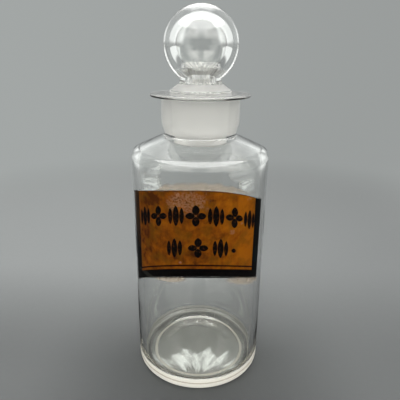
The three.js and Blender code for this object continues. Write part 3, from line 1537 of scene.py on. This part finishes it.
    def build(self) -> None:
        """Builds and dresses the layers, each painted one wet against the glass."""
        wall = self.vessel.radius
        glass, _ = self.layer(Layer.COVER)
        foil, _ = self.layer(Layer.FOIL)
        backing, _ = self.layer(Layer.BACKING)
        layers = [
            ("cover_glass", self.layer(Layer.COVER), Inset(),
             ClearGlass("label_cover_glass", wave_depth=0.01), "label_cover_glass", "label_glass"),
            ("gold_leaf", (foil, glass + 2 * self.wet), self.border,
             GoldLeaf("gold_leaf", wall), "gold_leaf", "label_foil"),
            ("japan_ground", (backing, glass + self.wet), Inset.even(self.recess_clearance / 4),
             BlackJapan("black_japan", wall), "black_japan", "label_backing"),
            ("cement_bed", self.layer(Layer.CEMENT), Inset.even(self.margin / 2),
             Putty("putty"), "putty", "label_cement"),
        ]
        for name, radii, inset, look, slot, node in layers:
            dress(self.plate(name, radii, inset, self.layer_rows), Body.VESSEL, [look], node)
        self._paint(glass)

    def _paint(self, glass: float) -> None:
        """Paints the rule and the two rows of figures.

        Args:
            glass: The radius of the cover glass's back.
        """
        radii = (glass - self.wet, glass + 3 * self.wet)
        edges = tuple((self.bottom, self.rule_level + side * self.rule_width / 2) for side in (-1, 1))
        line = self.plate("painted_rule", radii, self.border, edges=edges)
        pitch = (self.upper_to - self.upper_from) / (self.upper_figures - 1)
        pair = (Figure.SPINDLES, Figure.FLOWER)
        upper = self.painted_row("upper_figures", [
            (pair[place % 2], self.upper_from + pitch * place, self.upper_row)
            for place in range(self.upper_figures)
        ])
        lower = self.painted_row("lower_figures", [
            *((pair[place % 2], angle, self.lower_row) for place, angle in enumerate(self.lower_angles)),
            (Figure.DOT, self.dot_angle, self.dot_level),
        ])
        wall = self.vessel.radius
        brown = BlackJapan("brown_japan", wall, (0.016, 0.004, 0.001), (0.04, 0.011, 0.002), tinges=())
        rubbed = BlackJapan("rubbed_japan", wall, (0.002, 0.0013, 0.001), (0.1, 0.028, 0.002), 1.6, ())
        for piece, look in ((line, brown), (upper, rubbed), (lower, rubbed)):
            dress(piece, Body.VESSEL, [look])


class Tone(Enum):
    """The tones of the room round the bottle."""

    # The camera sees the backdrop, darker towards the right, the walls at both sides of it, the paper on
    # the table in the same way, and the paper's painted shade in front of the bottle
    LEFT = (0.365, 0.385, 0.379)
    RIGHT = (0.322, 0.338, 0.333)
    WALLS = (0.42, 0.43, 0.42)
    NEAR_LEFT = (0.24, 0.25, 0.247)
    NEAR_RIGHT = (0.188, 0.196, 0.194)
    SHADE = (0.106, 0.11, 0.109)
    # Only the glass sees the lit screens at both sides of the backdrop, the table beside the
    # paper, the dim strip below the screens, the dim room beyond them, the lit room in front
    # with the brighter windows at its sides, the ceiling and the high window in front
    SCREENS = (0.95, 0.98, 0.96)
    BENCH = (0.98, 1.01, 0.99)
    DADO = (0.4, 0.415, 0.405)
    DUSK = (0.17, 0.17, 0.17)
    FRONT = (1.8, 1.8, 1.75)
    FLANKS = (2.2, 2.2, 2.14)
    CEILING = (2.0, 2.0, 1.92)
    WINDOW = (4.5, 4.43, 4.24)
    # Polished glass mirrors the skylight behind, what is straight above, the lamp overhead
    # and the dark cards that keep mirrored light off the label
    SKY = (5.5, 5.5, 5.4)
    ZENITH = (1.1, 1.1, 1.08)
    SOFTBOX = (8.0, 8.0, 7.85)
    FLAG = (0.018, 0.018, 0.018)
    # Painted light that glows on the paper below the bottle's foot, a dim pool with brighter wings
    PAINTED_POOL = (0.1, 0.104, 0.094)
    PAINTED_WINGS = (0.8, 0.84, 0.79)
    # No light, and plain daylight
    BLACK = (0.0, 0.0, 0.0)
    WHITE = (1.0, 1.0, 1.0)


@dataclass(frozen=True)
class Zone:
    """A part of the room, by the direction that one looks in.

    Each span gives the number at which the zone begins and the one at which it is full.

    Attributes:
        tone: The zone's tone.
        facing: How squarely one looks at the backdrop, from 1 at it to -1 away from it.
        ahead: How far the look goes towards the backdrop.
        aside: How far it goes to either side.
        up: How far it goes up.
        up_to: The same, for a zone that also ends above.
        within: The zones that lie in this one.
    """

    tone: Tone
    facing: Span | None = None
    ahead: Span | None = None
    aside: Span | None = None
    up: Span | None = None
    up_to: Span | None = None
    within: tuple["Zone", ...] = ()


def zoned(graph: Graph, way: dict[str, Value], under: Value | Colour, zones: Iterable[Zone]) -> Value:
    """Lays zones over a colour in order.

    Args:
        graph: The graph.
        way: The parts of the direction, by the names of a zone's spans.
        under: The colour under the zones.
        zones: The zones.

    Returns:
        The colour with the zones over it.
    """
    for zone in zones:
        spans = {name: span for name in way if (span := getattr(zone, name))}
        share = math.prod(way[name].step(*span) for name, span in spans.items())
        under = graph.mix(share, under, zoned(graph, way, zone.tone.value, zone.within))
    return under


@dataclass(frozen=True)
class Room:
    """The room round the bottle, with a look for the camera and others for the glass.

    Attributes:
        backdrop: The span from left to right over which the backdrop changes its tone.
        walls: What stands beside the backdrop.
        around: What the glass sees over the backdrop, through itself or mirrored.
        through: What it sees through itself alone.
        mirrored: What its polish mirrors alone.
        flattest: The least part of a direction that counts as along the floor.
        daylight: The strength of the light that falls on what isn't glass.
    """

    backdrop: Span = (-0.5, 0.5)
    walls: tuple[Zone, ...] = (Zone(Tone.WALLS, ahead=(0.84, 0.5)),)
    around: tuple[Zone, ...] = (
        Zone(Tone.DADO, facing=(0.96, 0.9)),
        Zone(Tone.SCREENS, facing=(0.975, 0.92), up=(0.03, 0.13)),
        Zone(Tone.DUSK, facing=(0.46, 0.34)),
        Zone(Tone.FRONT, facing=(0.05, -0.2), within=(Zone(Tone.FLANKS, aside=(0.45, 0.85)),)),
        Zone(Tone.DUSK, facing=(-0.6, -0.85), up=(0.5, 0.3)),
        Zone(Tone.SCREENS, up=(0.56, 0.76)),
    )
    through: tuple[Zone, ...] = (
        Zone(Tone.CEILING, up=(0.6, 0.85)),
        Zone(Tone.WINDOW, ahead=(-0.1, -0.35), aside=(0.1, 0.3), up=(0.3, 0.45), up_to=(0.97, 0.9)),
    )
    mirrored: tuple[Zone, ...] = (
        Zone(Tone.ZENITH, up=(0.4, 0.7)),
        Zone(Tone.SKY, aside=(0.38, 0.16), up=(0.35, 0.65)),
        Zone(Tone.ZENITH, up=(0.88, 1.0)),
        Zone(Tone.FLAG, ahead=(0.1, -0.5), up=(0.4, 0.1)),
        Zone(Tone.SOFTBOX, ahead=(0.26, 0.18), up=(0.62, 0.72)),
    )
    flattest: float = 0.05
    daylight: float = 0.5

    def seen(self, graph: Graph, side: Value, ahead: Value) -> Value:
        """The backdrop and walls in a direction along the floor."""
        backdrop = graph.mix(side.step(*self.backdrop), Tone.LEFT.value, Tone.RIGHT.value)
        return zoned(graph, {"ahead": ahead}, backdrop, self.walls)

    def world(self) -> bpy.types.World:
        """Builds the world.

        Returns:
            The world, with one look for the camera, the glass, its mirrored light and the rest.
        """
        world = bpy.data.worlds.new("room")
        world.use_nodes = True
        graph = Graph(world.node_tree)
        side, ahead, up = graph.split(graph.add("ShaderNodeTexCoord", output="Generated"))
        facing = ahead / graph.reach(side, ahead).at_least(self.flattest)
        way = {"facing": facing, "ahead": ahead, "aside": abs(side), "up": up, "up_to": up}
        seen = self.seen(graph, side, ahead)
        around = zoned(graph, way, seen, self.around)
        glossy, passed = graph.asks("Is Glossy Ray"), graph.asks("Is Transmission Ray")
        looks = graph.layered(seen, [
            (glossy - passed, zoned(graph, way, around, self.mirrored)),
            (passed, zoned(graph, way, around, self.through)),
        ])
        shown = graph.asks("Is Camera Ray").at_least(glossy).at_least(passed)
        plain = {"Color": Tone.WHITE.value, "Strength": self.daylight}
        soft = graph.add("ShaderNodeBackground", None, plain)
        room = graph.add("ShaderNodeBackground", None, {"Color": looks, "Strength": 1.0})
        graph.node("ShaderNodeOutputWorld", None, {"Surface": graph.cover(shown, soft, room)})
        return world


@dataclass(frozen=True)
class PaintedCaustic:
    """Painted light that glows on the paper below the bottle's foot, in place of the light that the foot
    gathers. Lengths are metres.

    Attributes:
        foot: The radii where the light begins and is full.
        root: The point from which its folds fan out.
        middle: The middle of the bright wings.
        size: Half their width and depth.
        edge: Where they begin and are full, as shares of that size.
        spread: How uneven their edge is.
        folds: How fast the folds at their edge change outwards, and their width in radians.
        streaks: The same for the streaks in them.
        least: How bright they are between the streaks.
    """

    foot: Span = (0.036, 0.031)
    root: Point = (-0.001, -0.034)
    middle: Point = (-0.001, -0.0155)
    size: Point = (0.025, 0.0095)
    edge: Span = (1.2, 0.6)
    spread: float = 2.8
    folds: Point = (12.0, 0.25)
    streaks: Point = (16.0, 0.2)
    least: float = 0.35

    def glow(self, graph: Graph, place: Value) -> Value:
        """Adds the painted glow to the floor's graph.

        Args:
            graph: The graph.
            place: The point on the floor.

        Returns:
            The painted glow's colour.
        """
        fan = graph.vector("SUBTRACT", place, self.root)
        across, along, _ = graph.split(fan)
        turn = across.math("ARCTAN2", along)
        reach = graph.vector("LENGTH", fan)
        folds = graph.noise(graph.join(turn, reach * self.folds[0]), self.folds[1], 2.0, 0.5)
        streaks = graph.noise(graph.join(turn, reach * self.streaks[0]), self.streaks[1], 3.0, 0.6)
        offset = graph.vector("SUBTRACT", place, self.middle)
        scaled = graph.vector("LENGTH", graph.vector("DIVIDE", offset, (*self.size, 1.0)))
        painted_wings = (scaled + folds.swing(self.spread)).step(*self.edge)
        painted_wings = painted_wings * (streaks.step(0.35, 0.6) * (1 - self.least) + self.least)
        side, ahead, _ = graph.split(place)
        caustic_glow = graph.mix(painted_wings, Tone.PAINTED_POOL.value, Tone.PAINTED_WINGS.value)
        return graph.mix(graph.reach(side, ahead).step(*self.foot), Tone.BLACK.value, caustic_glow)


@dataclass(frozen=True)
class PaperFloor(Finish):
    """The paper, which keeps the bottle's shadows, is painted darker in front of and beside the bottle as
    painted shade, and fades into the walls.

    Each span gives the number at which a change begins and the one at which it is full.
    Lengths are metres, and the two spans of far places are squares of lengths.

    Attributes:
        room: The room that it fades into.
        painted_caustic: The painted glow below the bottle's foot.
        sides: The change from the left tone to the right one.
        near: The change from the shade in front of the bottle to the open paper.
        beside: The change from the shade to the open paper at the bottle's sides.
        lifted: How far that change goes.
        bench_side: Where the table beside the paper lies, from the axis outwards.
        bench_slope: How fast that moves outwards behind the bottle.
        bench_far: How far away the table begins.
        bench_ahead: How squarely behind the bottle it lies.
        flagged: Where the dark cards stand, as polished glass mirrors them.
        fade: How far away the paper fades.
        grain: The size of the paper's grain.
        grain_depth: How dark the grain is.
    """

    room: Room
    painted_caustic: PaintedCaustic = PaintedCaustic()
    sides: Span = (-0.3, 0.3)
    near: Span = (-0.02, 0.13)
    beside: Span = (0.04, 0.12)
    lifted: float = 0.25
    bench_side: Span = (0.02, 0.12)
    bench_slope: float = 0.5
    bench_far: Span = (0.2, 0.5)
    bench_ahead: Span = (0.2, 0.4)
    flagged: Span = (0.85, 0.6)
    fade: Span = (0.06, 0.4)
    grain: float = 0.004
    grain_depth: float = 0.06

    def shader(self, graph: Graph) -> Value:
        """Adds the paper to a graph.

        Args:
            graph: The graph.

        Returns:
            The shader.
        """
        place = graph.place()
        side, ahead, _ = graph.split(place)
        way_side, way_ahead, _ = graph.split(graph.vector("NORMALIZE", place))
        far = side * side + ahead * ahead
        glossy, passed = graph.asks("Is Glossy Ray"), graph.asks("Is Transmission Ray")
        bare = (abs(side) - ahead * self.bench_slope).step(*self.bench_side) * passed
        bare = bare * far.step(*self.bench_far) * way_ahead.step(*self.bench_ahead)
        flagged = (glossy - passed) * way_ahead.step(*self.flagged)
        flag, bench = Tone.FLAG.value, Tone.BENCH.value
        sheet = graph.mix(side.step(*self.sides), Tone.NEAR_LEFT.value, Tone.NEAR_RIGHT.value)
        # Painted shade: the paper is darker in front of the bottle and at its sides
        paper = graph.layered(Tone.SHADE.value, [
            (ahead.step(*self.near), sheet),
            (abs(side).step(*self.beside) * self.lifted, sheet),
            (flagged, flag),
            (bare, bench),
            (graph.noise(place, self.grain, 3.0, 0.6) * self.grain_depth, flag),
        ])
        wall = self.room.seen(graph, way_side, way_ahead)
        wall = graph.layered(wall, [(bare, bench), (flagged, flag)])
        faded = far.step(*self.fade) * graph.asks("Is Camera Ray").at_least(glossy)
        return graph.principled({
            "Base Color": graph.mix(faded, paper, Tone.BLACK.value),
            "Roughness": 0.9,
            "Specular IOR Level": 0.0,
            # The paper glows with painted light below the bottle's foot
            "Emission Color": graph.mix(faded, self.painted_caustic.glow(graph, place), wall),
            "Emission Strength": 1.0,
        })


@dataclass(frozen=True)
class Lamp:
    """A soft rectangular lamp that faces the bottle. Lengths are metres.

    Attributes:
        name: The lamp's name.
        at: Its middle.
        size: Its width and height.
        glow: Its brightness, where 1 is a white wall in full light.
        aim: The height on the bottle's axis that it faces.
    """

    name: str
    at: Colour
    size: Point
    glow: float
    aim: float = 0.12

    def hang(self) -> None:
        """Hangs the lamp where only what isn't glass is lit by it."""
        data = bpy.data.lights.new(self.name, "AREA")
        data.shape = "RECTANGLE"
        data.size, data.size_y = self.size
        data.energy = 4 * self.glow * data.size * data.size_y
        lamp = in_scene(self.name, data)
        lamp.visible_camera = False
        lamp.visible_glossy = False
        lamp.visible_transmission = False
        lamp.location = self.at
        aim = Vector((0, 0, self.aim)) - Vector(self.at)
        lamp.rotation_euler = aim.to_track_quat("-Z", "Y").to_euler()


@dataclass
class Studio:
    """The plain floor, the lamps and the camera. Lengths are metres here."""

    room: Room = Room()
    lines: tuple[float, ...] = (-12.0, -1.0, -0.3, 0.3, 1.0, 12.0)
    air: float = 0.0003
    lens_px: float = 393.919
    frame_px: float = 400.0
    sensor: float = 36.0
    nearest: float = 0.01
    camera_back: float = 0.238988
    camera_height: float = 0.199615
    pitch: float = 0.3432
    roll: float = 0.0102
    shift_px: float = 0.368
    lamps: tuple[Lamp, ...] = (
        Lamp("overhead", (0.0, 0.3, 0.8), (0.8, 0.5), 4.6),
        Lamp("left_window", (-0.8, -0.5, 0.7), (0.25, 0.35), 5.0),
        Lamp("right_strip", (0.8, -0.2, 0.6), (0.15, 0.5), 4.0),
        Lamp("front_fill", (0.0, -0.7, 0.3), (0.5, 0.3), 5.5),
    )

    def floor(self) -> None:
        """Lays the floor a breath of air below the glass, with finer steps near the bottle."""
        vertices = [(x, y, -self.air) for y in self.lines for x in self.lines]
        row = len(self.lines)
        faces = [
            (at, at + 1, at + row + 1, at + row)
            for at in range(row * (row - 1)) if at % row != row - 1
        ]
        piece = new_piece("floor_sheet", vertices, faces)
        finish(piece, [PaperFloor("paper_floor", self.room)])

    def camera(self) -> None:
        """Sets the camera that was fitted to the photograph."""
        data = bpy.data.cameras.new("camera")
        data.sensor_width = self.sensor
        data.lens = self.sensor * self.lens_px / self.frame_px
        data.shift_x = self.shift_px / self.frame_px
        data.clip_start = self.nearest
        camera = in_scene("camera", data)
        camera.location = (0, -self.camera_back, self.camera_height)
        camera.rotation_mode = "XYZ"
        tilt = Vector((0, math.cos(self.pitch), -math.sin(self.pitch))).to_track_quat("-Z", "Y")
        camera.rotation_euler = (tilt.to_matrix() @ Matrix.Rotation(self.roll, 3, "Z")).to_euler()
        bpy.context.scene.camera = camera

    def build(self) -> None:
        """Builds the studio."""
        self.camera()
        self.floor()
        bpy.context.scene.world = self.room.world()
        for lamp in self.lamps:
            lamp.hang()


def main() -> None:
    """Builds the studio and the bottle in order."""
    logging.basicConfig(level=logging.INFO, format="%(name)s: %(message)s")
    scene = bpy.context.scene
    scene.view_settings.view_transform = "Standard"
    scene.cycles.max_bounces = BOUNCES
    scene.cycles.transmission_bounces = BOUNCES
    Studio().build()
    vessel = BlownBody()
    label = Label(vessel)
    vessel.build(label)
    label.build()
    BallStopper(vessel).build()


if __name__ == "__main__":
    main()
